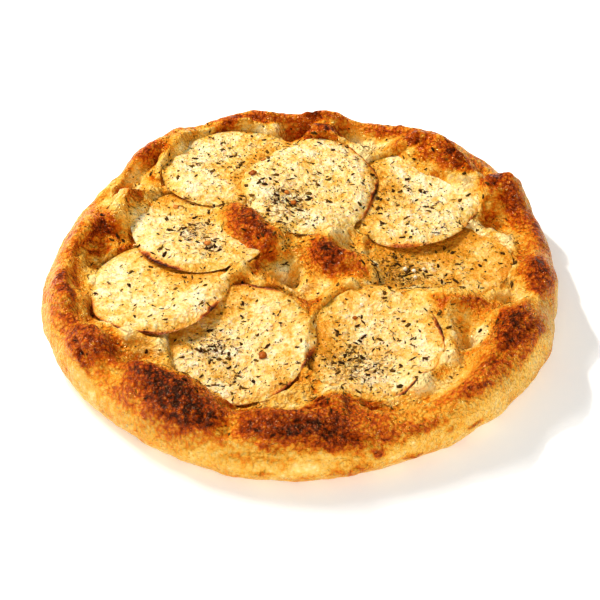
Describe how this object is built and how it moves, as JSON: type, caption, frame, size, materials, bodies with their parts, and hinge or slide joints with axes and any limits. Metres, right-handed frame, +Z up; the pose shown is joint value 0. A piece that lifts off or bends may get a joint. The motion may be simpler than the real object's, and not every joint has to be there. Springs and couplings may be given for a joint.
{
  "type": "potato focaccia",
  "caption": "Round flatbread with a knobbly browned rim and a ring of thin overlapping potato slices with dried herbs and coarse salt, baked into its top.",
  "frame": {"origin": "middle of the box round the bread, on the surface it lies on", "axes": "+Z up, -Y towards the viewer of the picture, +X to the viewer's right"},
  "size_m": [0.2298, 0.2312, 0.0338],
  "materials": {
    "browned_crust": "baked dough, oily and uneven, cream to dark brown",
    "baked_potato": "baked potato, slightly glossy, with browned edges"
  },
  "bodies": {
    "root": {"bread": "browned_crust", "slice_back": "baked_potato", "slice_back_left": "baked_potato", "slice_front_left": "baked_potato", "slice_front_right": "baked_potato", "slice_left": "baked_potato", "slice_left_back": "baked_potato", "slice_right": "baked_potato", "slice_right_back": "baked_potato"}
  },
  "joints": []
}
